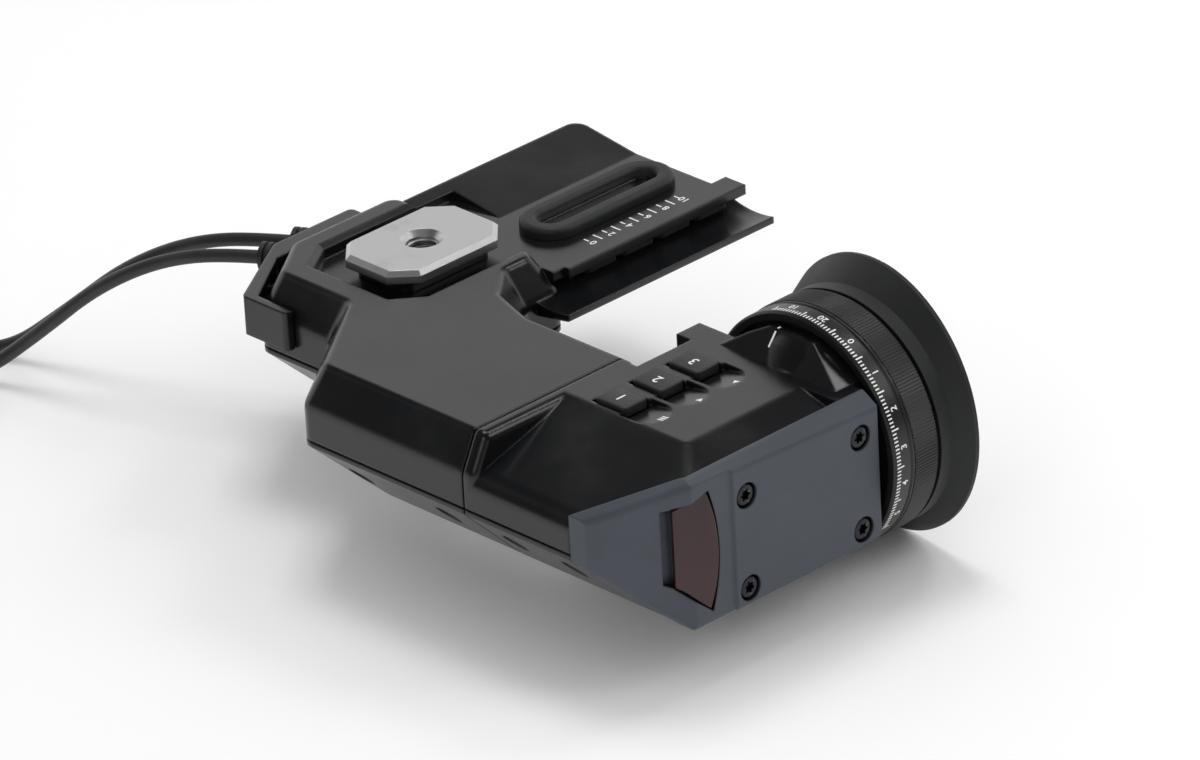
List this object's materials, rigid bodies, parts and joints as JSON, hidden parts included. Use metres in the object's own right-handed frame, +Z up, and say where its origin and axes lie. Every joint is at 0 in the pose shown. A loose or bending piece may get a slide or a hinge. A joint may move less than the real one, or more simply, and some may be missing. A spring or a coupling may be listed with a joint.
{
  "type": "camera viewfinder",
  "caption": "Camera viewfinder with a slotted mounting saddle on a bent arm, a tilting eyepiece pod with keys, focus ring and round eyecup, and trailing leads.",
  "frame": {"origin": "bottom centre of the body without its leads; the eyecup's rim touches the ground", "axes": "+X along the eyepiece's axis towards the eyecup, -Y towards the grey side cover, +Z up"},
  "size_m": [0.2149, 0.345, 0.072],
  "materials": {
    "shell": "satin black moulded plastic",
    "cover_grey": "matte blue-grey moulded plastic",
    "rubber": "black moulded rubber",
    "ring_black": "black moulded plastic with white scale",
    "alloy": "milled and bead-blasted",
    "tube_alloy": "black anodised",
    "screw_black": "black oxide steel",
    "steel": "plain",
    "window_red": "clear dark red",
    "lens": "coated",
    "board": "solder mask",
    "panel": "display glass",
    "key_black": "moulded",
    "jacket": "cable jacket",
    "brass": "turned",
    "plug_metal": "nickel plated"
  },
  "bodies": {
    "arm": {"arm_top_shell": "shell", "arm_bottom_cover": "shell", "arm_cover_screws": "screw_black", "quick_plate": "alloy", "quick_plate_neck": "shell", "quick_plate_screws": "steel", "slot_rim": "rubber", "grip_lugs": "rubber", "cable_clamp_cover": "shell", "cable_clamp_screws": "screw_black", "video_relief": "jacket", "power_relief": "jacket", "video_cord": "jacket", "video_coil": "jacket", "video_plug": "plug_metal", "power_cord": "jacket", "power_coil": "jacket", "power_plug": "plug_metal", "interface_board": "board", "pivot_sleeve": "tube_alloy", "pivot_nut": "brass", "friction_washer": "rubber", "wave_washer": "steel", "harness": "jacket"},
    "pod": {"pod_top_shell": "shell", "pod_bottom_shell": "shell", "pod_screws": "screw_black", "side_cover": "cover_grey", "side_cover_screws": "screw_black", "tally_window": "window_red", "tally_board": "board", "key_board": "board", "display_frame": "ring_black", "display_panel": "panel", "main_board": "board", "service_port": "steel", "eyepiece_tube": "tube_alloy", "tube_screws": "steel", "snap_ring": "steel"},
    "key_a": {"key_1": "key_black"},
    "key_b": {"key_2": "key_black"},
    "key_c": {"key_3": "key_black"},
    "focus": {"focus_ring": "ring_black"},
    "lens_group": {"lens_barrel": "tube_alloy", "guide_pins": "steel", "lens_front": "lens", "lens_middle": "lens", "lens_rear": "lens", "lens_spacer": "tube_alloy", "lens_retainer": "tube_alloy"},
    "eyecup_body": {"eyecup": "rubber", "eyecup_ring": "ring_black"}
  },
  "joints": [
    {"name": "pod_tilt", "type": "hinge", "parent": "arm", "child": "pod", "pos_m": [-0.04415, -0.02565, 0.0365], "axis": [0, 1, 0], "range_deg": [-75, 20]},
    {"name": "focus_turn", "type": "hinge", "parent": "pod", "child": "focus", "pos_m": [0.0167, -0.05905, 0.036], "axis": [1, 0, 0], "range_deg": [-120, 40]},
    {"name": "lens_slide", "type": "slide", "parent": "pod", "child": "lens_group", "axis": [1, 0, 0], "range_m": [-0.00378, 0.00127]},
    {"name": "eyecup_turn", "type": "hinge", "parent": "pod", "child": "eyecup_body", "pos_m": [0.0287, -0.05905, 0.036], "axis": [1, 0, 0], "continuous": true},
    {"name": "key_1_press", "type": "slide", "parent": "pod", "child": "key_a", "axis": [0, 0, -1], "range_m": [0, 0.0008], "stiffness_N_per_m": 500, "springref_m": -0.0004},
    {"name": "key_2_press", "type": "slide", "parent": "pod", "child": "key_b", "axis": [0, 0, -1], "range_m": [0, 0.0008], "stiffness_N_per_m": 500, "springref_m": -0.0004},
    {"name": "key_3_press", "type": "slide", "parent": "pod", "child": "key_c", "axis": [0, 0, -1], "range_m": [0, 0.0008], "stiffness_N_per_m": 500, "springref_m": -0.0004}
  ],
  "couplings": [
    {"joint": "lens_slide", "follows": "focus_turn", "m_per_rad": 0.0018}
  ]
}
